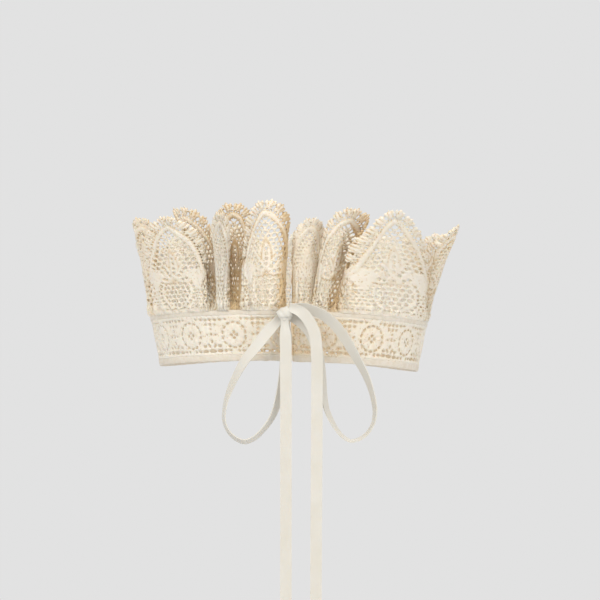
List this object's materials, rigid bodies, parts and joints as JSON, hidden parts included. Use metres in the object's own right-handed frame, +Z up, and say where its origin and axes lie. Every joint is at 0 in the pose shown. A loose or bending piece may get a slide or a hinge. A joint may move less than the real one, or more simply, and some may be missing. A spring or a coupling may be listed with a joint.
{
  "type": "lace collar",
  "caption": "Stand-up lace neck collar: a straight lace band with plain bound edges, a full scalloped lace ruffle gathered above it, open in front and closed with a narrow ribbon bow.",
  "frame": {"origin": "centre of the neck ring at the height of its lower hem, on the neck's upright axis", "axes": "+Z up the neck, -Y out of the front where the bow is, +X to the right as a viewer in front sees it"},
  "size_m": [0.1632, 0.1583, 0.2351],
  "materials": {
    "lace": "cream cotton lace, matt",
    "plain_tape": "cream cotton tape, matt",
    "ribbon": "off-white woven ribbon, low sheen"
  },
  "bodies": {
    "root": {"hem_tape_left": "plain_tape", "hem_tape_right": "plain_tape", "band_left": "lace", "band_right": "lace", "seam_tape_left": "plain_tape", "seam_tape_right": "plain_tape", "ruffle_front_left": "lace", "ruffle_back_left": "lace", "ruffle_back_right": "lace", "ruffle_front_right": "lace", "tie_left": "ribbon", "tie_right": "ribbon", "bow_knot": "ribbon", "loop_left": "ribbon", "loop_right": "ribbon", "tail_left": "ribbon", "tail_right": "ribbon"}
  },
  "joints": []
}
